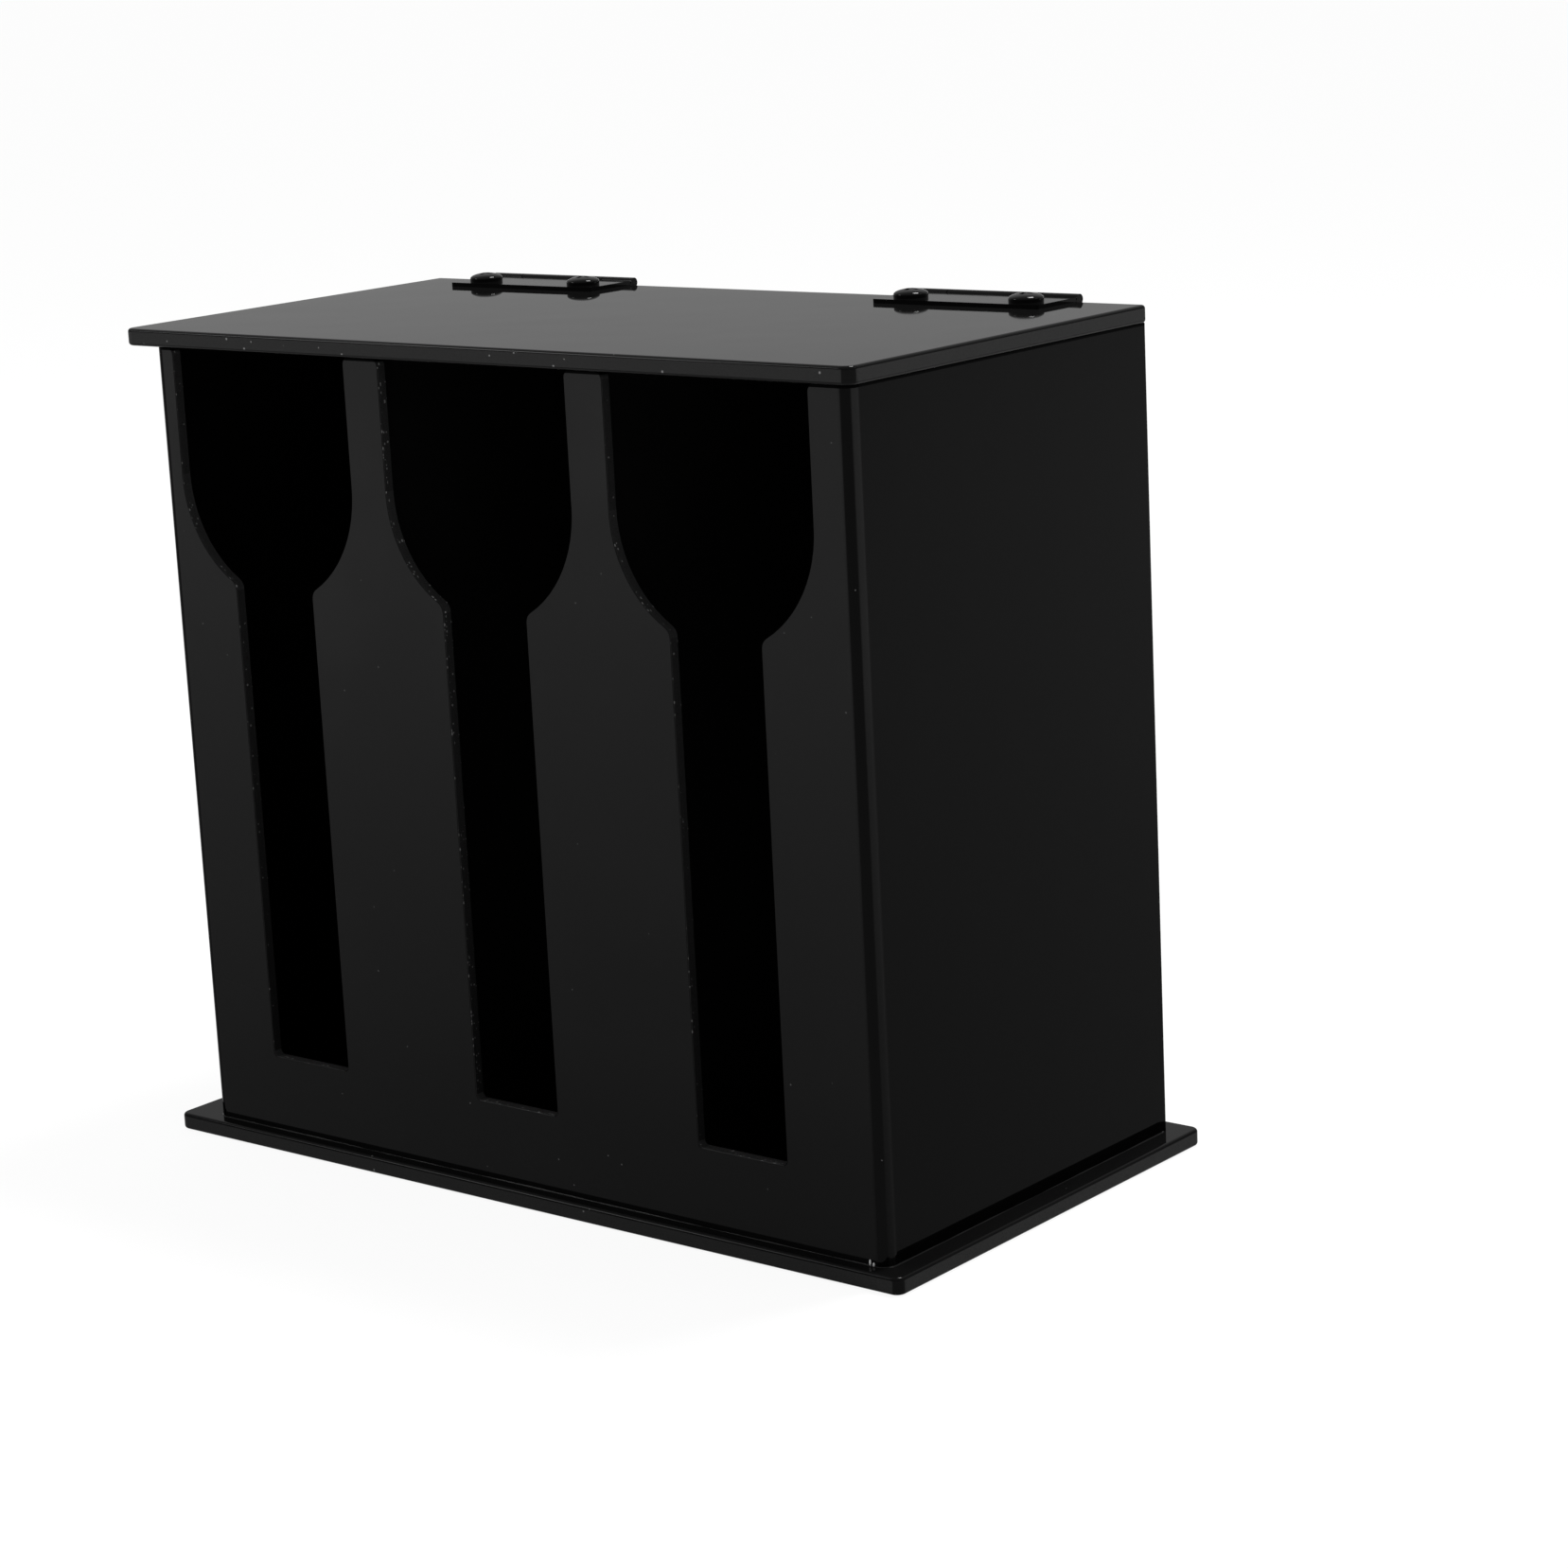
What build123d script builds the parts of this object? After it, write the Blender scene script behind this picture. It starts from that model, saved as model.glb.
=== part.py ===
from build123d import *
import math
import os

# Upright cutlery organizer of glossy black acrylic sheet: a bent body with three combed openings
# stands on a wider base plate, and a flat lid hangs on two small butt hinges at the back.
# Origin: centre of the base plate's underside. X to the right, Y to the back, Z up. Millimetres.

# Base plate
base_width = 275.0
base_depth = 145.5
base_thickness = 5.0
plate_corner_radius = 3.0
plate_edge_round = 1.0

# Body of bent sheet, set back from the base plate's edges
body_left_inset = 12.2
body_front_inset = 4.5
body_width = 255.8
body_depth = 133.0
body_height = 234.0
wall = 3.0
bend_inner_radius = 1.0
sheet_edge_round = 0.25

# Openings in the front, each a window with a round bottom that narrows into a slot
opening_count = 3
opening_pitch = 82.5
opening_offset = -2.8
window_width = 69.0
window_round_height = 197.0
slot_width = 31.0
slot_sill_height = 23.0
shoulder_round = 3.5
slot_corner_round = 1.5
post_top_round = 2.0

# Dividers between the compartments
divider_thickness = 3.0
divider_drop = 1.0

# Lid
lid_thickness = 5.0
lid_left_overhang = 11.3
lid_right_overhang = 1.0
lid_front_overhang = 1.0
lid_front_corner_radius = 3.5
lid_rear_corner_radius = 1.5

# Butt hinges: a leaf on the lid, a leaf on the back panel and a pin
hinge_spacing = 164.5
hinge_offset = -2.75
hinge_length = 57.3
leaf_thickness = 1.2
leaf_reach = 20.5
leaf_corner_radius = 0.6
outer_knuckle_length = 12.0
knuckle_end_gap = 0.25
knuckle_notch_gap = 0.35
pin_diameter = 1.2
pin_clearance = 0.04
knuckle_wall = 0.86
barrel_setback_gap = 0.25
barrel_rise = 0.5

# Screws and nuts that hold the leaves
screw_spacing = 40.0
screw_edge_distance = 6.8
screw_diameter = 5.0
screw_hole_clearance = 0.15
screw_head_diameter = 10.0
screw_head_rim = 0.9
screw_head_height = 2.5
screw_end_chamfer = 0.5
cross_width = 1.3
cross_length = 5.0
cross_depth = 1.5
lid_screw_length = 12.0
back_screw_length = 10.0
nut_across_flats = 8.0
nut_height = 4.0
nut_bore_clearance = 0.02
nut_chamfer = 0.4

# Places that follow from the sizes above
body_x0 = -base_width / 2 + body_left_inset
body_x1 = body_x0 + body_width
body_y0 = -base_depth / 2 + body_front_inset
body_y1 = body_y0 + body_depth
body_z0 = base_thickness
body_z1 = body_z0 + body_height
bend_outer_radius = bend_inner_radius + wall
lid_x0 = body_x0 - lid_left_overhang
lid_x1 = body_x1 + lid_right_overhang
lid_y0 = body_y0 - lid_front_overhang
lid_z1 = body_z1 + lid_thickness
opening_centre = (body_x0 + body_x1) / 2 + opening_offset
opening_places = [
    opening_centre + (i - (opening_count - 1) / 2) * opening_pitch for i in range(opening_count)
]
divider_places = [(a + b) / 2 for a, b in zip(opening_places, opening_places[1:])]
pin_radius = pin_diameter / 2
bore_radius = pin_radius + pin_clearance
knuckle_radius = bore_radius + knuckle_wall
axis_y = body_y1 + knuckle_radius + barrel_setback_gap
axis_z = lid_z1 + barrel_rise
screw_reach = leaf_reach - screw_edge_distance
hinge_centre = opening_centre + hinge_offset
hinge_places = {
    "left": hinge_centre - hinge_spacing / 2,
    "right": hinge_centre + hinge_spacing / 2,
}
screw_sides = {"left": -screw_spacing / 2, "right": screw_spacing / 2}
screw_hole_radius = screw_diameter / 2 + screw_hole_clearance

# How far past a sheet's faces a cutting tool reaches
through = 2.0


def box(x0, x1, y0, y1, z0, z1):
    """A block between two opposite corners."""
    size = Box(x1 - x0, y1 - y0, z1 - z0)
    return Pos((x0 + x1) / 2, (y0 + y1) / 2, (z0 + z1) / 2) * size


def rod(radius, start, end):
    """A round bar from one point to another."""
    a = Vector(*start)
    b = Vector(*end)
    plane = Plane(origin=a, z_dir=b - a)
    return plane * Cylinder(radius, (b - a).length, align=(Align.CENTER, Align.CENTER, Align.MIN))


def plate(x0, x1, y0, y1, z0, z1, front_corner, rear_corner, edge):
    """A flat sheet with round corners and polished, rounded edges."""
    outline = Rectangle(x1 - x0, y1 - y0)
    outline = fillet(outline.vertices().sort_by(Axis.Y)[:2], front_corner)
    outline = fillet(outline.vertices().sort_by(Axis.Y)[-2:], rear_corner)
    solid = extrude(Pos((x0 + x1) / 2, (y0 + y1) / 2, z0) * outline, z1 - z0)
    rims = solid.edges().group_by(Axis.Z)
    return fillet(rims[0] + rims[-1], edge)


def opening_outline(x):
    """The window, its round bottom and the slot below it, drawn on the front and open at the top."""
    half_window = window_width / 2
    half_slot = slot_width / 2
    round_z = body_z0 + window_round_height
    sill_z = body_z0 + slot_sill_height
    top_z = body_z1 + through
    window = Pos(x, (round_z + top_z) / 2) * Rectangle(window_width, top_z - round_z)
    bowl = Pos(x, round_z) * Circle(half_window)
    slot = Pos(x, (sill_z + round_z) / 2) * Rectangle(slot_width, round_z - sill_z)
    shape = window + bowl + slot
    shoulder_z = round_z - math.sqrt(half_window**2 - half_slot**2)
    shoulders = shape.vertices().filter_by(lambda v: abs(v.Y - shoulder_z) < slot_corner_round)
    shape = fillet(shoulders, shoulder_round)
    corners = shape.vertices().filter_by(lambda v: abs(v.Y - sill_z) < slot_corner_round / 2)
    return fillet(corners, slot_corner_round)


def post_top_relief(x):
    """What rounds the upper corner of the post on each side of one window."""
    relief = Sketch()
    for side in (-1, 1):
        edge_x = x + side * window_width / 2
        square_x = edge_x + side * post_top_round / 2
        square_z = body_z1 - post_top_round / 2
        square = Pos(square_x, square_z) * Rectangle(post_top_round, post_top_round)
        disc_x = edge_x + side * post_top_round
        relief += square - Pos(disc_x, body_z1 - post_top_round) * Circle(post_top_round)
    return relief


def front_prism(sketch):
    """A front-view sketch pushed through the front sheet."""
    front = Plane(origin=(0, body_y0 - through, 0), x_dir=(1, 0, 0), z_dir=(0, -1, 0))
    return extrude(front * sketch, -(bend_outer_radius + 2 * through))


def bent_body():
    """Front and both sides as one sheet, bent at the two front edges."""
    outer_points = [(body_x0, body_y1), (body_x0, body_y0), (body_x1, body_y0), (body_x1, body_y1)]
    outer = FilletPolyline(*outer_points, radius=bend_outer_radius)
    inner_points = [
        (body_x0 + wall, body_y1),
        (body_x0 + wall, body_y0 + wall),
        (body_x1 - wall, body_y0 + wall),
        (body_x1 - wall, body_y1),
    ]
    inner = FilletPolyline(*inner_points, radius=bend_inner_radius)
    left_end = Line(outer @ 0, inner @ 0)
    right_end = Line(outer @ 1, inner @ 1)
    section = make_face(Curve() + [outer, inner, left_end, right_end])
    shell = extrude(Pos(0, 0, body_z0) * section, body_height)
    for x in opening_places:
        shell -= front_prism(opening_outline(x))
        shell -= front_prism(post_top_relief(x))
    front_rims = shell.faces().sort_by(Axis.Y)[0].edges()
    above_foot = body_z0 + wall
    return fillet(front_rims.filter_by(lambda e: e.center().Z > above_foot), sheet_edge_round)


def back_panel():
    """Flat sheet between the two sides, with the holes for the hinge screws."""
    sheet = box(body_x0 + wall, body_x1 - wall, body_y1 - wall, body_y1, body_z0, body_z1)
    z = axis_z - screw_reach
    for x in hinge_places.values():
        for side in screw_sides.values():
            hole_start = (x + side, body_y1 - wall - through, z)
            hole_end = (x + side, body_y1 + through, z)
            sheet -= rod(screw_hole_radius, hole_start, hole_end)
    return sheet


def divider(x):
    """Upright sheet from the front panel to the back panel."""
    half = divider_thickness / 2
    top = body_z1 - divider_drop
    return box(x - half, x + half, body_y0 + wall, body_y1 - wall, body_z0, top)


def lid_panel():
    """Flat lid with the holes for the hinge screws."""
    sheet = plate(
        lid_x0,
        lid_x1,
        lid_y0,
        body_y1,
        body_z1,
        lid_z1,
        lid_front_corner_radius,
        lid_rear_corner_radius,
        plate_edge_round,
    )
    y = axis_y - screw_reach
    for x in hinge_places.values():
        for side in screw_sides.values():
            hole_start = (x + side, y, body_z1 - through)
            hole_end = (x + side, y, lid_z1 + through)
            sheet -= rod(screw_hole_radius, hole_start, hole_end)
    return sheet


def knuckle(x0, x1):
    """One rolled knuckle of a hinge, bored for the pin."""
    tube = rod(knuckle_radius, (x0, axis_y, axis_z), (x1, axis_y, axis_z))
    return tube - rod(bore_radius, (x0 - through, axis_y, axis_z), (x1 + through, axis_y, axis_z))


def knuckle_spans(x):
    """The stretches of the outer knuckles and of the middle one."""
    x0 = x - hinge_length / 2
    x1 = x + hinge_length / 2
    left = (x0, x0 + outer_knuckle_length)
    right = (x1 - outer_knuckle_length, x1)
    middle = (left[1] + knuckle_end_gap, right[0] - knuckle_end_gap)
    return left, middle, right


def round_free_corners(leaf, axis, free_end):
    """Rounds the two leaf corners that are furthest from the barrel."""
    picked = leaf.edges().filter_by(axis).sort_by(free_end)[:2]
    return fillet(picked, leaf_corner_radius)


def bore_out(leaf, x):
    """Clears the pin's bore through the whole leaf."""
    reach = hinge_length / 2 + through
    return leaf - rod(bore_radius, (x - reach, axis_y, axis_z), (x + reach, axis_y, axis_z))


def lid_leaf(x):
    """Leaf that lies on the lid and carries the middle knuckle."""
    left, middle, right = knuckle_spans(x)
    notch_y = axis_y - knuckle_radius - knuckle_notch_gap
    z0 = lid_z1
    z1 = lid_z1 + leaf_thickness
    leaf = box(left[0], right[1], axis_y - leaf_reach, notch_y, z0, z1)
    leaf = round_free_corners(leaf, Axis.Z, Axis.Y)
    leaf += box(middle[0], middle[1], notch_y, axis_y, z0, z1)
    leaf += knuckle(*middle)
    leaf = bore_out(leaf, x)
    y = axis_y - screw_reach
    for side in screw_sides.values():
        leaf -= rod(screw_hole_radius, (x + side, y, z0 - through), (x + side, y, z1 + through))
    return leaf


def back_leaf(x):
    """Leaf that lies on the back panel and carries the two outer knuckles."""
    left, middle, right = knuckle_spans(x)
    notch_z = axis_z - knuckle_radius - knuckle_notch_gap
    y0 = body_y1
    y1 = body_y1 + leaf_thickness
    leaf = box(left[0], right[1], y0, y1, axis_z - leaf_reach, notch_z)
    leaf = round_free_corners(leaf, Axis.Y, Axis.Z)
    for span in (left, right):
        leaf += box(span[0], span[1], y0, y1, notch_z, axis_z)
        leaf += knuckle(*span)
    leaf = bore_out(leaf, x)
    z = axis_z - screw_reach
    for side in screw_sides.values():
        leaf -= rod(screw_hole_radius, (x + side, y0 - through, z), (x + side, y1 + through, z))
    return leaf


def hinge_pin(x):
    """Pin through all three knuckles, fixed in the outer ones."""
    reach = hinge_length / 2
    return rod(pin_radius, (x - reach, axis_y, axis_z), (x + reach, axis_y, axis_z))


def screw(length):
    """Low domed screw, its head's underside at the origin and its shank along -Z."""
    head_radius = screw_head_diameter / 2
    shank_radius = screw_diameter / 2
    rim = Line((head_radius, 0), (head_radius, screw_head_rim))
    dome_rise = screw_head_height - screw_head_rim
    dome = EllipticalCenterArc((0, screw_head_rim), head_radius, dome_rise, start_angle=0, arc_size=90)
    shaft = Polyline(
        (0, screw_head_height),
        (0, -length),
        (shank_radius - screw_end_chamfer, -length),
        (shank_radius, screw_end_chamfer - length),
        (shank_radius, 0),
        (head_radius, 0),
    )
    profile = make_face(Curve() + [rim, dome, shaft])
    solid = revolve(Plane.XZ * profile, Axis.Z)
    half_length = cross_length / 2
    half_width = cross_width / 2
    slot_z0 = screw_head_height - cross_depth
    slot_z1 = screw_head_height + through
    slot = box(-half_length, half_length, -half_width, half_width, slot_z0, slot_z1)
    return solid - slot - Rot(0, 0, 90) * slot


def nut():
    """Hexagon nut, its seat at the origin and its body along -Z."""
    corner_radius = nut_across_flats / 2 / math.cos(math.pi / 6)
    hexagon = extrude(RegularPolygon(corner_radius, 6), -nut_height)
    cone_radius = corner_radius - nut_chamfer
    cone = Pos(0, 0, -nut_height) * Cone(
        cone_radius,
        cone_radius + nut_height,
        nut_height,
        align=(Align.CENTER, Align.CENTER, Align.MIN),
    )
    bore = rod(screw_diameter / 2 + nut_bore_clearance, (0, 0, through), (0, 0, -nut_height - through))
    return (hexagon & cone) - bore


def lid_place(x, z):
    """A place on the lid for a fastener whose shank points down."""
    return Pos(x, axis_y - screw_reach, z)


def back_place(x, y):
    """A place on the back panel for a fastener whose shank points to the front."""
    return Pos(x, y, axis_z - screw_reach) * Rot(-90, 0, 0)


nodes = {
    "base_plate": plate(
        -base_width / 2,
        base_width / 2,
        -base_depth / 2,
        base_depth / 2,
        0,
        base_thickness,
        plate_corner_radius,
        plate_corner_radius,
        plate_edge_round,
    ),
    "bent_body_sheet": bent_body(),
    "back_panel": back_panel(),
    "lid_panel": lid_panel(),
}

for name, place in zip(("left_divider", "right_divider"), divider_places):
    nodes[name] = divider(place)

for hinge, place in hinge_places.items():
    nodes[f"{hinge}_hinge_lid_leaf"] = lid_leaf(place)
    nodes[f"{hinge}_hinge_back_leaf"] = back_leaf(place)
    nodes[f"{hinge}_hinge_pin"] = hinge_pin(place)
    for side, shift in screw_sides.items():
        spot = place + shift
        prefix = f"{hinge}_hinge_{side}"
        nodes[f"{prefix}_lid_screw"] = lid_place(spot, lid_z1 + leaf_thickness) * screw(lid_screw_length)
        nodes[f"{prefix}_lid_nut"] = lid_place(spot, body_z1) * nut()
        nodes[f"{prefix}_back_screw"] = back_place(spot, body_y1 + leaf_thickness) * screw(back_screw_length)
        nodes[f"{prefix}_back_nut"] = back_place(spot, body_y1 - wall) * nut()

os.makedirs("parts", exist_ok=True)
for name, solid in nodes.items():
    export_step(solid, f"parts/{name}.step")
    print(name)
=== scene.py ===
"""Looks of the cutlery organizer, in a pale studio, from the photograph's camera.

Black gloss acrylic, black hinges and screws, and the cement at the foot of the body."""

import math

import bmesh
import bpy
from mathutils import Euler, Matrix, Vector


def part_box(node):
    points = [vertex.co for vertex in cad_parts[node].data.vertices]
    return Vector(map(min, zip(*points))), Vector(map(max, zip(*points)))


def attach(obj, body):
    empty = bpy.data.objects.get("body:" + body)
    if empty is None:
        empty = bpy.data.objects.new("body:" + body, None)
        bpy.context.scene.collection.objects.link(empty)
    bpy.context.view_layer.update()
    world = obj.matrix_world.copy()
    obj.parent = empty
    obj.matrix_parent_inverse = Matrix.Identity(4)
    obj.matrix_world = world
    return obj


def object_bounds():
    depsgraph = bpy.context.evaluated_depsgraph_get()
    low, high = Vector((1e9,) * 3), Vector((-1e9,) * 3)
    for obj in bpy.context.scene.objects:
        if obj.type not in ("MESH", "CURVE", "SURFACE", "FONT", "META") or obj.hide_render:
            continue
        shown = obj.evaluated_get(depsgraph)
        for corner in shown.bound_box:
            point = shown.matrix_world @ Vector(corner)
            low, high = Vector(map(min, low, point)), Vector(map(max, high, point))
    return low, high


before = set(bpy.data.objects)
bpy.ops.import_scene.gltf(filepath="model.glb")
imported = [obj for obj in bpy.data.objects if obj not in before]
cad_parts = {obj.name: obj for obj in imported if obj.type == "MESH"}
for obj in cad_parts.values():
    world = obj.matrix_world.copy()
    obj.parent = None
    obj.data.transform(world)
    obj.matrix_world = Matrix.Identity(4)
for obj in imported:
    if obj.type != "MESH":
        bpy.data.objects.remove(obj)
cad_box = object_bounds()
scene = bpy.context.scene
MM = 0.001

# Places on the solids that materials and cement line up with
BODY_LOW, BODY_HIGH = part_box("bent_body_sheet")
BASE_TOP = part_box("base_plate")[1].z
BEND_RADIUS = 4 * MM


# Node helpers
def feed(tree, socket, value):
    """Links an output to the socket, or sets the socket to a plain value."""
    if isinstance(value, bpy.types.NodeSocket):
        tree.links.new(value, socket)
    else:
        socket.default_value = value


def add(tree, kind, settings=None, **inputs):
    """A new node; inputs are values or outputs, by socket name or by number as i0, i1."""
    made = tree.nodes.new(kind)
    for name, value in (settings or {}).items():
        setattr(made, name, value)
    for name, value in inputs.items():
        numbered = name[0] == "i" and name[1:].isdigit()
        feed(tree, made.inputs[int(name[1:]) if numbered else name.replace("_", " ")], value)
    return made


def maths(tree, operation, *values, clamp=False):
    """The output of a Math node."""
    made = tree.nodes.new("ShaderNodeMath")
    made.operation = operation
    made.use_clamp = clamp
    for socket, value in zip(made.inputs, values):
        feed(tree, socket, value)
    return made.outputs[0]


def ramp(tree, value, low, high, to_low=0.0, to_high=1.0):
    """value from low..high mapped smoothly to to_low..to_high."""
    made = add(
        tree,
        "ShaderNodeMapRange",
        {"interpolation_type": "SMOOTHSTEP"},
        Value=value,
        From_Min=low,
        From_Max=high,
        To_Min=to_low,
        To_Max=to_high,
    )
    return made.outputs["Result"]


def above(tree, value, limit):
    return maths(tree, "GREATER_THAN", value, limit)


def below(tree, value, limit):
    return maths(tree, "LESS_THAN", value, limit)


def unsigned(tree, value):
    return maths(tree, "ABSOLUTE", value)


def any_of(tree, *masks):
    result = masks[0]
    for mask in masks[1:]:
        result = maths(tree, "MAXIMUM", result, mask)
    return result


def all_of(tree, *masks):
    result = masks[0]
    for mask in masks[1:]:
        result = maths(tree, "MULTIPLY", result, mask)
    return result


def grey(value):
    return (value, value, value, 1.0)


def blend_colour(tree, factor, first, second):
    """first where factor is 0, second where it is 1."""
    made = add(tree, "ShaderNodeMix", {"data_type": "RGBA"}, i0=factor, i6=first, i7=second)
    return made.outputs[2]


def new_material(name):
    made = bpy.data.materials.new(name)
    made.use_nodes = True
    made.node_tree.nodes.clear()
    return made, made.node_tree


def place(tree):
    """The position vector, and position and normal split into x, y, z, all riding with the piece."""
    coords = add(tree, "ShaderNodeTexCoord")
    position = add(tree, "ShaderNodeSeparateXYZ", i0=coords.outputs["Object"])
    normal = add(tree, "ShaderNodeSeparateXYZ", i0=coords.outputs["Normal"])
    return coords.outputs["Object"], position.outputs, normal.outputs


def specks(tree, vector, cells_per_metre, radius_in_cells, share):
    """Round dots: one possible dot in each Voronoi cell, kept in that share of the cells."""
    cells = add(
        tree,
        "ShaderNodeTexVoronoi",
        {"voronoi_dimensions": "3D", "feature": "F1"},
        Vector=vector,
        Scale=cells_per_metre,
    )
    luck = add(tree, "ShaderNodeSeparateColor", i0=cells.outputs["Color"])
    size = maths(tree, "MULTIPLY", luck.outputs[1], radius_in_cells)
    dot = below(tree, cells.outputs["Distance"], size)
    kept = below(tree, luck.outputs[0], share)
    return all_of(tree, dot, kept)


# Acrylic
ACRYLIC_IOR = 1.13
CLEAR_BLACK = 0.0006
HAZE = 0.0125
PLAIN_HAZE_SHARE = 0.2
DUST = 0.055
GLINT_GAIN = 9.0
SPARSE_GLINTS = 0.25
MIRROR_LEVEL = 0.5
SHADE_TAKES = 0.42


def acrylic(name, cut_mask, frost, glint_share, haze_and_shade_mask=None, glint_mask=None, painted_darkening=None):
    """Black gloss acrylic: polished faces with fine haze and dust, and cut edges with grain and painted
    glints.

    frost is how light the cut edges are and glint_share how many painted glints they carry.
    The masks take (tree, position, normal) and return a 0..1 socket: cut_mask says what is a cut
    edge, haze_and_shade_mask where the haze and painted shade lie, glint_mask where the painted
    glints lie thickest and painted_darkening where painted shade darkens the colour and mirrors less."""
    made, tree = new_material(name)
    vector, position, normal = place(tree)
    cut = cut_mask(tree, position, normal)

    smudge = add(tree, "ShaderNodeTexNoise", Vector=vector, Scale=11.0, Detail=3.0, Roughness=0.55)
    smudge = ramp(tree, smudge.outputs["Fac"], 0.42, 0.68)
    ripple = add(tree, "ShaderNodeTexNoise", Vector=vector, Scale=34.0, Detail=1.0)
    dust = specks(tree, vector, cells_per_metre=210.0, radius_in_cells=0.075, share=0.22)

    grain = add(tree, "ShaderNodeTexNoise", Vector=vector, Scale=2600.0, Detail=2.0, Roughness=0.7)
    if glint_mask:
        thick = glint_mask(tree, position, normal)
        glint_share = ramp(tree, thick, 0.0, 1.0, glint_share * SPARSE_GLINTS, glint_share)
    # Painted highlights: the glints are dots of lighter colour standing in for sparkle on the cut edges.
    glints = specks(tree, vector, cells_per_metre=1000.0, radius_in_cells=0.42, share=glint_share)

    # On the bent sheet the haze share also paints shade: darker towards the foot, on the sides and in
    # the bends.
    haze = haze_and_shade_mask(tree, position, normal) if haze_and_shade_mask else PLAIN_HAZE_SHARE
    wiped = blend_colour(tree, smudge, grey(HAZE * 0.88), grey(HAZE * 1.08))
    face = blend_colour(tree, haze, grey(CLEAR_BLACK), wiped)
    face = blend_colour(tree, dust, face, grey(DUST))
    frosted = blend_colour(tree, grain.outputs["Fac"], grey(frost * 0.55), grey(frost * 1.45))
    frosted = blend_colour(tree, glints, frosted, grey(frost * GLINT_GAIN))
    colour = blend_colour(tree, cut, face, frosted)
    mirror = MIRROR_LEVEL
    # Painted shade: where the mask says, the colour goes to clear black and the mirror level drops.
    if painted_darkening:
        shade = painted_darkening(tree, position, normal)
        colour = blend_colour(tree, shade, colour, grey(CLEAR_BLACK))
        mirror = maths(tree, "MULTIPLY_ADD", shade, -SHADE_TAKES, MIRROR_LEVEL)

    gloss = maths(tree, "MULTIPLY_ADD", smudge, 0.03, 0.025)
    matt = maths(tree, "MULTIPLY_ADD", grain.outputs["Fac"], 0.25, 0.18)
    rough = add(tree, "ShaderNodeMix", {"data_type": "FLOAT"}, i0=cut, i2=gloss, i3=matt)

    wave = add(
        tree, "ShaderNodeBump", Strength=0.10, Distance=0.6 * MM, Height=ripple.outputs["Fac"]
    )
    pits = add(
        tree,
        "ShaderNodeBump",
        Strength=maths(tree, "MULTIPLY", cut, 0.35),
        Distance=0.12 * MM,
        Height=grain.outputs["Fac"],
        Normal=wave.outputs[0],
    )
    shader = add(
        tree,
        "ShaderNodeBsdfPrincipled",
        Base_Color=colour,
        Roughness=rough.outputs[0],
        IOR=ACRYLIC_IOR,
        Specular_IOR_Level=mirror,
        Normal=pits.outputs[0],
    )
    add(tree, "ShaderNodeOutputMaterial", Surface=shader.outputs[0])
    return made


def edge_across(axis):
    """Cut edges of a flat panel whose faces look along that axis; its rounded corners are polished."""
    one, other = [a for a in (0, 1, 2) if a != axis]

    def mask(tree, position, normal):
        edge = below(tree, unsigned(tree, normal[axis]), 0.14)
        turned = unsigned(tree, maths(tree, "MULTIPLY", normal[one], normal[other]))
        return all_of(tree, edge, below(tree, turned, 0.2))

    return mask


# Depths behind the body's front: past the front wall, and the front strip of its cut edges
PAST_FRONT_WALL = 3.45 * MM
FRONT_STRIP = 1.15 * MM


def bent_sheet_cuts(tree, position, normal):
    """Cut edges of the bent sheet: the openings in the front, the top and bottom rims, the rear ends."""
    across = below(tree, unsigned(tree, normal[1]), 0.6)
    front = below(tree, position[1], BODY_LOW.y + PAST_FRONT_WALL)
    between_bends = all_of(
        tree,
        above(tree, position[0], BODY_LOW.x + BEND_RADIUS),
        below(tree, position[0], BODY_HIGH.x - BEND_RADIUS),
    )
    openings = all_of(tree, across, front, between_bends)
    rims = above(tree, unsigned(tree, normal[2]), 0.8)
    ends = all_of(tree, above(tree, normal[1], 0.8), above(tree, position[1], 0.0))
    return any_of(tree, openings, rims, ends)


def front_arris(tree, position, normal):
    """The front strip of the cut edges of the openings, where the painted glints lie thickest."""
    return below(tree, position[1], BODY_LOW.y + FRONT_STRIP)


# Painted shade: depth of the shadow line under the lid, the sides' shade at the foot and the top, and
# the base edges' shade.
LID_SHADOW_LINE = 0.8 * MM
SIDE_SHADE_FOOT, SIDE_SHADE_TOP = 0.68, 0.28
BASE_EDGE_SHADE = 0.35
BELOW_BASE_TOP = 0.2 * MM


def sheet_painted_shade(tree, position, normal):
    """Painted shade: a shadow line under the lid, a darker left bend, and darker sides, more so towards
    the foot.
    """
    lid_shadow = above(tree, position[2], BODY_HIGH.z - LID_SHADOW_LINE)
    left_bend = ramp(tree, normal[0], -0.17, -0.05, 1.0, 0.0)
    turning = above(tree, unsigned(tree, normal[1]), 0.05)
    flat_side = above(tree, unsigned(tree, normal[0]), 0.999)
    depth = ramp(tree, position[2], 0.0, BODY_HIGH.z + 1 * MM, SIDE_SHADE_FOOT, SIDE_SHADE_TOP)
    side = all_of(tree, flat_side, depth)
    return any_of(tree, lid_shadow, all_of(tree, left_bend, turning), side)


def foot_painted_shade(tree, position, normal):
    """Painted shade on the edges of the base plate, close to the floor; the lid has the same material.
    """
    low = below(tree, position[2], BASE_TOP - BELOW_BASE_TOP)
    return maths(tree, "MULTIPLY", low, BASE_EDGE_SHADE)


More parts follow.
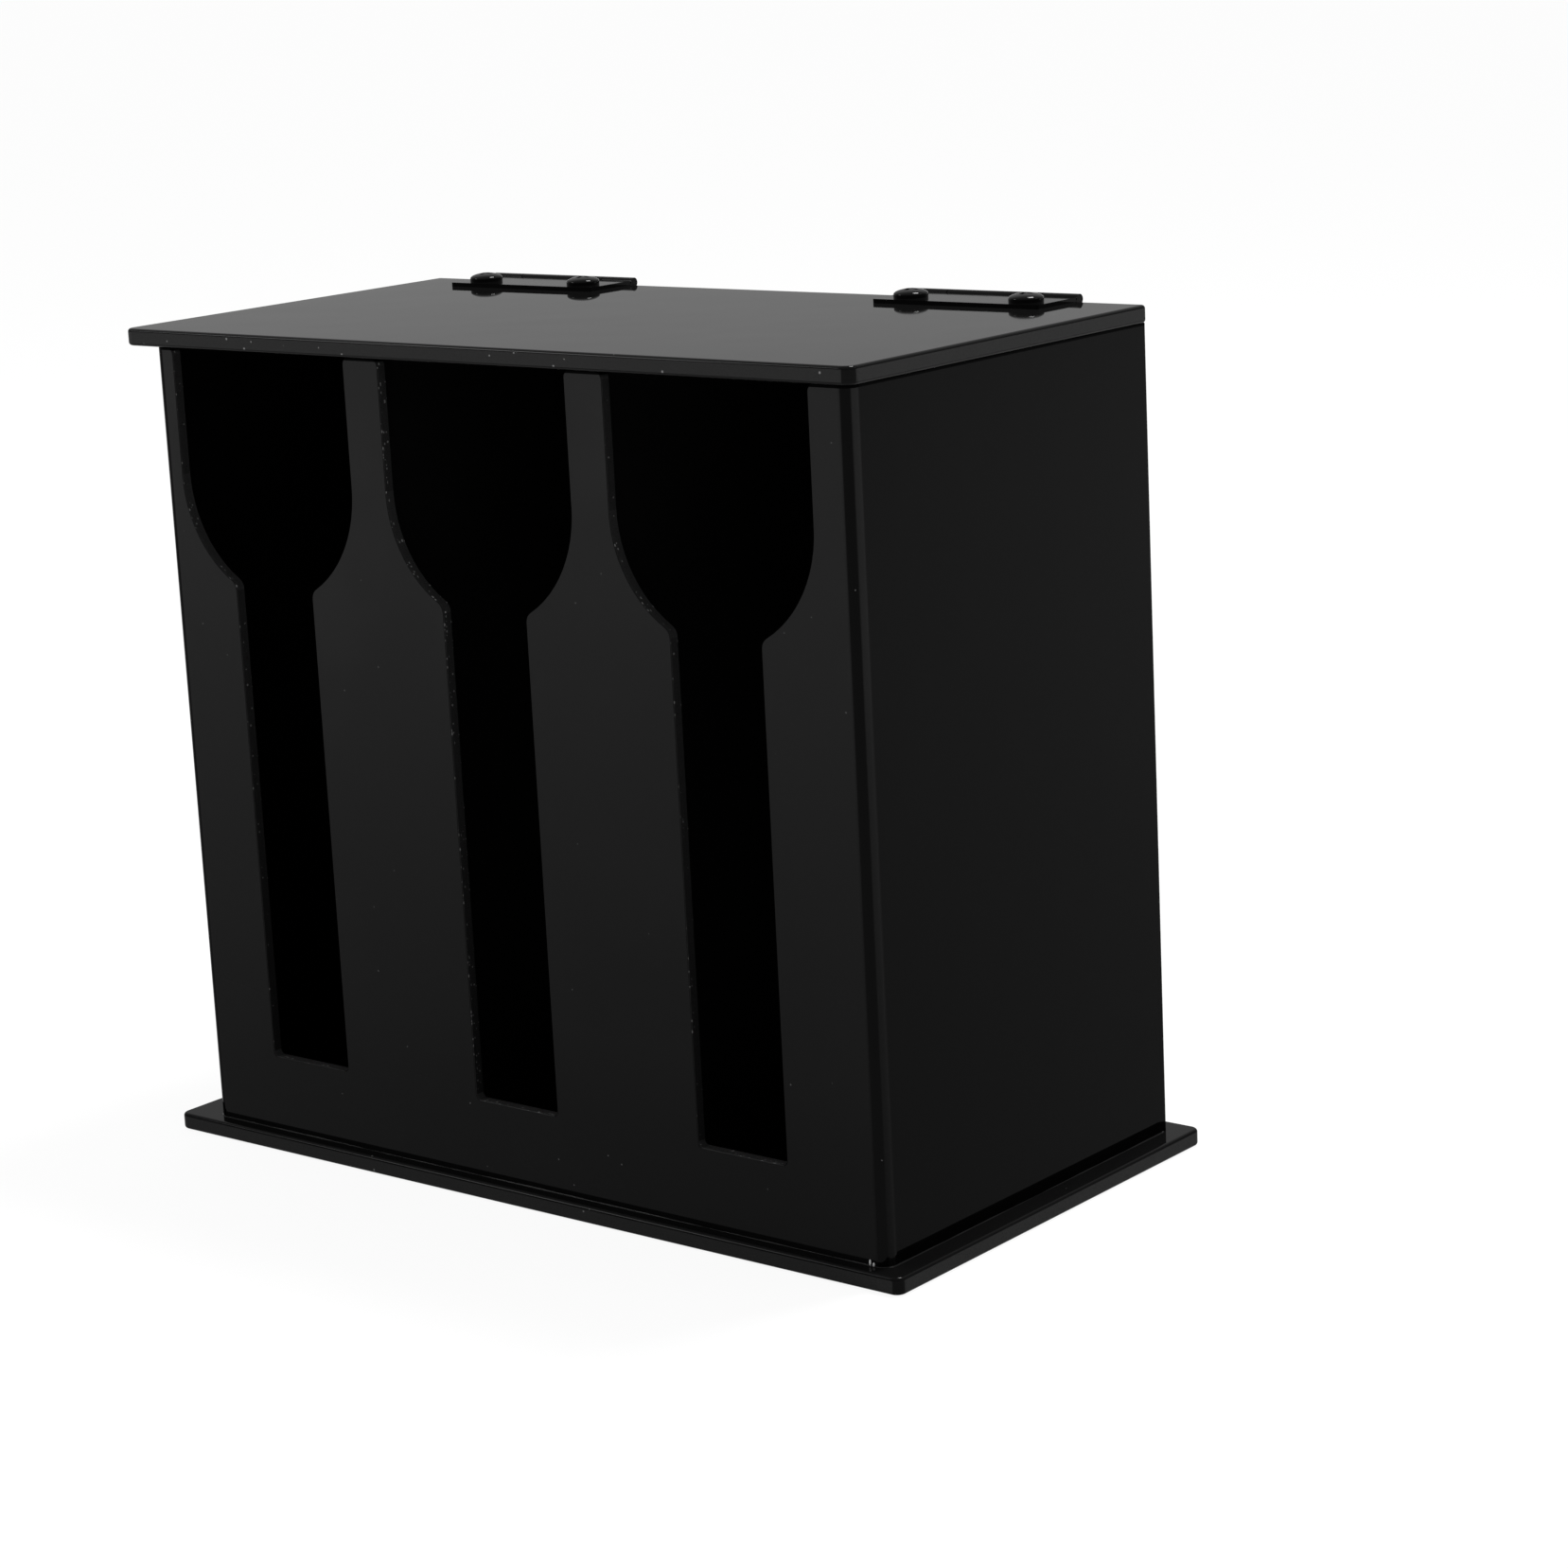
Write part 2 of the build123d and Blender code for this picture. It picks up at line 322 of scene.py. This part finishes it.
def hazy_wall_with_painted_shade(tree, position, normal):
    """A wiped haze that also paints shade: full on the flat front, faint on the sides, none in the bends
    and thin at the foot, so these are darker.
    """
    height = ramp(tree, position[2], 0.0, 0.26, 0.13, 1.0)
    flat_front = ramp(tree, normal[1], -0.9985, -0.975, 1.0, 0.0)
    sideways = unsigned(tree, normal[0])
    past_bend = ramp(tree, sideways, 0.74, 0.84)
    flat_side = ramp(tree, sideways, 0.985, 0.9995, 1.0, 0.06)
    return all_of(tree, height, any_of(tree, flat_front, all_of(tree, past_bend, flat_side)))


# Coated steel and cement
SPECK_GREY = 0.06


def metal(name, black, rough_low, rough_high, ior):
    """A smooth coat with fine orange peel and a few specks."""
    made, tree = new_material(name)
    vector, _, _ = place(tree)
    peel = add(tree, "ShaderNodeTexNoise", Vector=vector, Scale=500.0, Detail=1.0)
    wear = add(tree, "ShaderNodeTexNoise", Vector=vector, Scale=150.0, Detail=4.0, Roughness=0.6)
    dots = specks(tree, vector, cells_per_metre=420.0, radius_in_cells=0.09, share=0.06)
    colour = blend_colour(tree, wear.outputs["Fac"], grey(black * 0.6), grey(black * 1.8))
    colour = blend_colour(tree, dots, colour, grey(SPECK_GREY))
    rough = ramp(tree, wear.outputs["Fac"], 0.35, 0.7, rough_low, rough_high)
    bump = add(
        tree, "ShaderNodeBump", Strength=0.05, Distance=0.03 * MM, Height=peel.outputs["Fac"]
    )
    shader = add(
        tree,
        "ShaderNodeBsdfPrincipled",
        Base_Color=colour,
        Roughness=rough,
        IOR=ior,
        Normal=bump.outputs[0],
    )
    add(tree, "ShaderNodeOutputMaterial", Surface=shader.outputs[0])
    return made


flat_acrylic = acrylic(
    "acrylic_flat_panel", edge_across(2), frost=0.0145, glint_share=0.03, painted_darkening=foot_painted_shade
)
back_acrylic = acrylic("acrylic_back_panel", edge_across(1), frost=0.0125, glint_share=0.03)
divider_acrylic = acrylic("acrylic_divider", edge_across(0), frost=0.0125, glint_share=0.03)
sheet_acrylic = acrylic(
    "acrylic_bent_sheet",
    bent_sheet_cuts,
    frost=0.015,
    glint_share=0.6,
    haze_and_shade_mask=hazy_wall_with_painted_shade,
    glint_mask=front_arris,
    painted_darkening=sheet_painted_shade,
)
hinge_coat = metal("hinge_black_coat", black=0.0012, rough_low=0.05, rough_high=0.10, ior=1.14)
screw_coat = metal("screw_black_coat", black=0.0008, rough_low=0.02, rough_high=0.04, ior=1.16)

LOOK = {
    "base_plate": flat_acrylic,
    "lid_panel": flat_acrylic,
    "back_panel": back_acrylic,
    "left_divider": divider_acrylic,
    "right_divider": divider_acrylic,
    "bent_body_sheet": sheet_acrylic,
}
for name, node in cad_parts.items():
    if name in LOOK:
        look = LOOK[name]
    elif "screw" in name or "nut" in name or "pin" in name:
        look = screw_coat
    else:
        look = hinge_coat
    for i in range(len(node.data.materials)):
        node.data.materials[i] = look
    if not node.data.materials:
        node.data.materials.append(look)


# Meshes of the scene's own
def mesh_object(name, shape, look):
    """An object made of that bmesh, which is used up, with that material."""
    mesh = bpy.data.meshes.new(name)
    shape.to_mesh(mesh)
    shape.free()
    mesh.materials.append(look)
    made = bpy.data.objects.new(name, mesh)
    scene.collection.objects.link(made)
    return made


def stick_to_body(made):
    """Smooth cement that stays on the body."""
    for face in made.data.polygons:
        face.use_smooth = True
    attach(made, "body")


# Cement at the foot of the body
BEAD_STEP = 1.2 * MM
BEND_STEPS = 8
SINK = 0.05 * MM
BEAD_LEAST, BEAD_SWELL = 0.04 * MM, 0.26 * MM
# Height, radians per step and start of each wave in the bead's size
BEAD_WAVES = ((0.28, 0.061, 0.0), (0.2, 0.173, 1.3), (0.14, 0.517, 0.4))
HOLLOW_TURNS = (0.39, 0.79, 1.18)


def foot_path():
    """Points round the foot with their outward directions, from the rear left to the rear right."""
    x0, x1, y0, y1 = BODY_LOW.x, BODY_HIGH.x, BODY_LOW.y, BODY_HIGH.y
    path = []

    def run(ax, ay, bx, by, out):
        count = max(2, round(math.hypot(bx - ax, by - ay) / BEAD_STEP))
        for i in range(count):
            path.append((ax + (bx - ax) * i / count, ay + (by - ay) * i / count, out))

    def bend(cx, cy, start):
        for i in range(BEND_STEPS):
            turn = math.radians(start + 90 * i / BEND_STEPS)
            out = (math.cos(turn), math.sin(turn))
            path.append((cx + BEND_RADIUS * out[0], cy + BEND_RADIUS * out[1], out))

    run(x0, y1, x0, y0 + BEND_RADIUS, (-1.0, 0.0))
    bend(x0 + BEND_RADIUS, y0 + BEND_RADIUS, 180)
    run(x0 + BEND_RADIUS, y0, x1 - BEND_RADIUS, y0, (0.0, -1.0))
    bend(x1 - BEND_RADIUS, y0 + BEND_RADIUS, 270)
    run(x1, y0 + BEND_RADIUS, x1, y1, (1.0, 0.0))
    return path


def bead_size(i):
    """How far the cement has run out at that step: uneven, with thin stretches."""
    swell = 0.5 + sum(height * math.sin(i * rate + start) for height, rate, start in BEAD_WAVES)
    return BEAD_LEAST + BEAD_SWELL * max(0.0, min(1.0, swell))


def bead_section(size):
    """Outward and upward distances round a hollow fillet of that size, sunk into both sheets."""
    hollow = [(size * (1 - math.cos(t)), size * (1 - math.sin(t))) for t in HOLLOW_TURNS]
    return [(-SINK, -SINK), (-SINK, size), (0.0, size)] + hollow + [(size, 0.0), (size, -SINK)]


def cement_bead():
    """The thin fillet of solvent cement where the body sheet stands on the base plate."""
    bead = bmesh.new()
    rings = []
    for i, (x, y, out) in enumerate(foot_path()):
        section = bead_section(bead_size(i))
        corners = [(x + out[0] * a, y + out[1] * a, BASE_TOP + b) for a, b in section]
        rings.append([bead.verts.new(corner) for corner in corners])
    for first, second in zip(rings, rings[1:]):
        for j in range(len(first)):
            k = (j + 1) % len(first)
            bead.faces.new((first[j], second[j], second[k], first[k]))
    bead.faces.new(rings[0])
    bead.faces.new(list(reversed(rings[-1])))
    bmesh.ops.recalc_face_normals(bead, faces=bead.faces)
    film = metal("cement_film", black=0.004, rough_low=0.06, rough_high=0.14, ior=1.13)
    stick_to_body(mesh_object("cement_bead", bead, film))


DROP_RADIUS = 0.34 * MM
# Distance from the body's right side, height of the middle and half height of each drop
DROPS = ((5.9 * MM, 0.9 * MM, 0.9 * MM), (4.7 * MM, 0.5 * MM, 0.6 * MM))


def cement_drops():
    """Two drops of hardened cement at the right front corner of the foot, coloured light grey as a
    painted glint.
    """
    drops = bmesh.new()
    for from_right, up, half_height in DROPS:
        spot = Matrix.Translation((BODY_HIGH.x - from_right, BODY_LOW.y, BASE_TOP + up))
        stretch = Matrix.Diagonal((DROP_RADIUS, DROP_RADIUS, half_height, 1.0))
        bmesh.ops.create_uvsphere(
            drops, u_segments=20, v_segments=12, radius=1.0, matrix=spot @ stretch
        )
    # Light grey colour: a painted highlight on the drops.
    set_cement_and_glint = metal("drop_cement_with_painted_glint", black=0.3, rough_low=0.04, rough_high=0.1, ior=1.3)
    stick_to_body(mesh_object("cement_drops", drops, set_cement_and_glint))


cement_bead()
cement_drops()

# Floor
FLOOR_RADIUS = 19.5
FLOOR_GAP = 0.2 * MM
FLOOR_SHOWN_WHITE = 0.9
PAPER = 0.88


def floor_material():
    """Pale floor: shown white to the camera and in reflections, with a share of real light."""
    made, tree = new_material("studio_floor")
    rays = add(tree, "ShaderNodeLightPath")
    seen = maths(
        tree,
        "ADD",
        maths(tree, "ADD", rays.outputs["Is Camera Ray"], rays.outputs["Is Glossy Ray"]),
        rays.outputs["Is Transmission Ray"],
        clamp=True,
    )
    glow = add(tree, "ShaderNodeEmission", Color=grey(1.0), Strength=1.0)
    paper = add(tree, "ShaderNodeBsdfDiffuse", Color=grey(PAPER))
    share = maths(tree, "MULTIPLY", seen, FLOOR_SHOWN_WHITE)
    mixed = add(tree, "ShaderNodeMixShader", i0=share, i1=paper.outputs[0], i2=glow.outputs[0])
    add(tree, "ShaderNodeOutputMaterial", Surface=mixed.outputs[0])
    return made


disc = bmesh.new()
bmesh.ops.create_circle(disc, cap_ends=True, radius=FLOOR_RADIUS, segments=96)
floor = mesh_object("studio_floor", disc, floor_material())
floor.location.z = cad_box[0][2] - FLOOR_GAP

# World: bright at the horizon and overhead, with a grey wall between, by the sine of the elevation
WALL_GREY = 0.40
WALL_FROM, WALL_TO = 0.028, 0.085
CEILING_FROM, CEILING_TO = 0.15, 0.75

world = bpy.data.worlds.new("studio_world")
world.use_nodes = True
world.node_tree.nodes.clear()
coords = add(world.node_tree, "ShaderNodeTexCoord")
toward = add(world.node_tree, "ShaderNodeSeparateXYZ", i0=coords.outputs["Generated"])
foot_of_wall = ramp(world.node_tree, toward.outputs[2], WALL_FROM, WALL_TO, 1.0, WALL_GREY)
ceiling = ramp(world.node_tree, toward.outputs[2], CEILING_FROM, CEILING_TO, WALL_GREY, 1.0)
brightness = maths(world.node_tree, "MAXIMUM", foot_of_wall, ceiling)
sky = add(world.node_tree, "ShaderNodeBackground", Color=brightness, Strength=1.0)
add(world.node_tree, "ShaderNodeOutputWorld", Surface=sky.outputs[0])
scene.world = world

# Lamps
LAMP_TARGET = Vector((0.0, 0.0, 0.12))


def softbox(name, azimuth, elevation, distance, side, radiance):
    """A square area lamp aimed at the object's middle; azimuth is from the front towards the right."""
    lamp = bpy.data.lights.new(name, "AREA")
    lamp.shape = "SQUARE"
    lamp.size = side
    lamp.energy = math.pi * side * side * radiance
    made = bpy.data.objects.new(name, lamp)
    scene.collection.objects.link(made)
    a, e = math.radians(azimuth), math.radians(elevation)
    out = Vector((math.sin(a) * math.cos(e), -math.cos(a) * math.cos(e), math.sin(e)))
    made.location = LAMP_TARGET + out * distance
    made.rotation_euler = out.to_track_quat("Z", "Y").to_euler()


softbox("high_rear_softbox", azimuth=158, elevation=70, distance=1.7, side=0.42, radiance=75.0)
softbox("left_softbox", azimuth=-48, elevation=31, distance=1.9, side=0.5, radiance=11.0)
softbox("right_softbox", azimuth=118, elevation=40, distance=1.9, side=0.3, radiance=4.0)

# Camera, solved on the photographed object's own edges
CAMERA_PLACE_MM = (728.85, -832.32, 366.94)
CAMERA_TURN_DEGREES = (76.697, 2.7274, 38.6696)

lens = bpy.data.cameras.new("photo_camera")
lens.sensor_width = 36.0
lens.lens = 89.5
lens.clip_start = 0.05
lens.clip_end = 60.0
camera = bpy.data.objects.new("photo_camera", lens)
scene.collection.objects.link(camera)
camera.location = Vector(CAMERA_PLACE_MM) * MM
camera.rotation_euler = Euler([math.radians(v) for v in CAMERA_TURN_DEGREES], "XYZ")
scene.camera = camera

scene.view_settings.view_transform = "Standard"
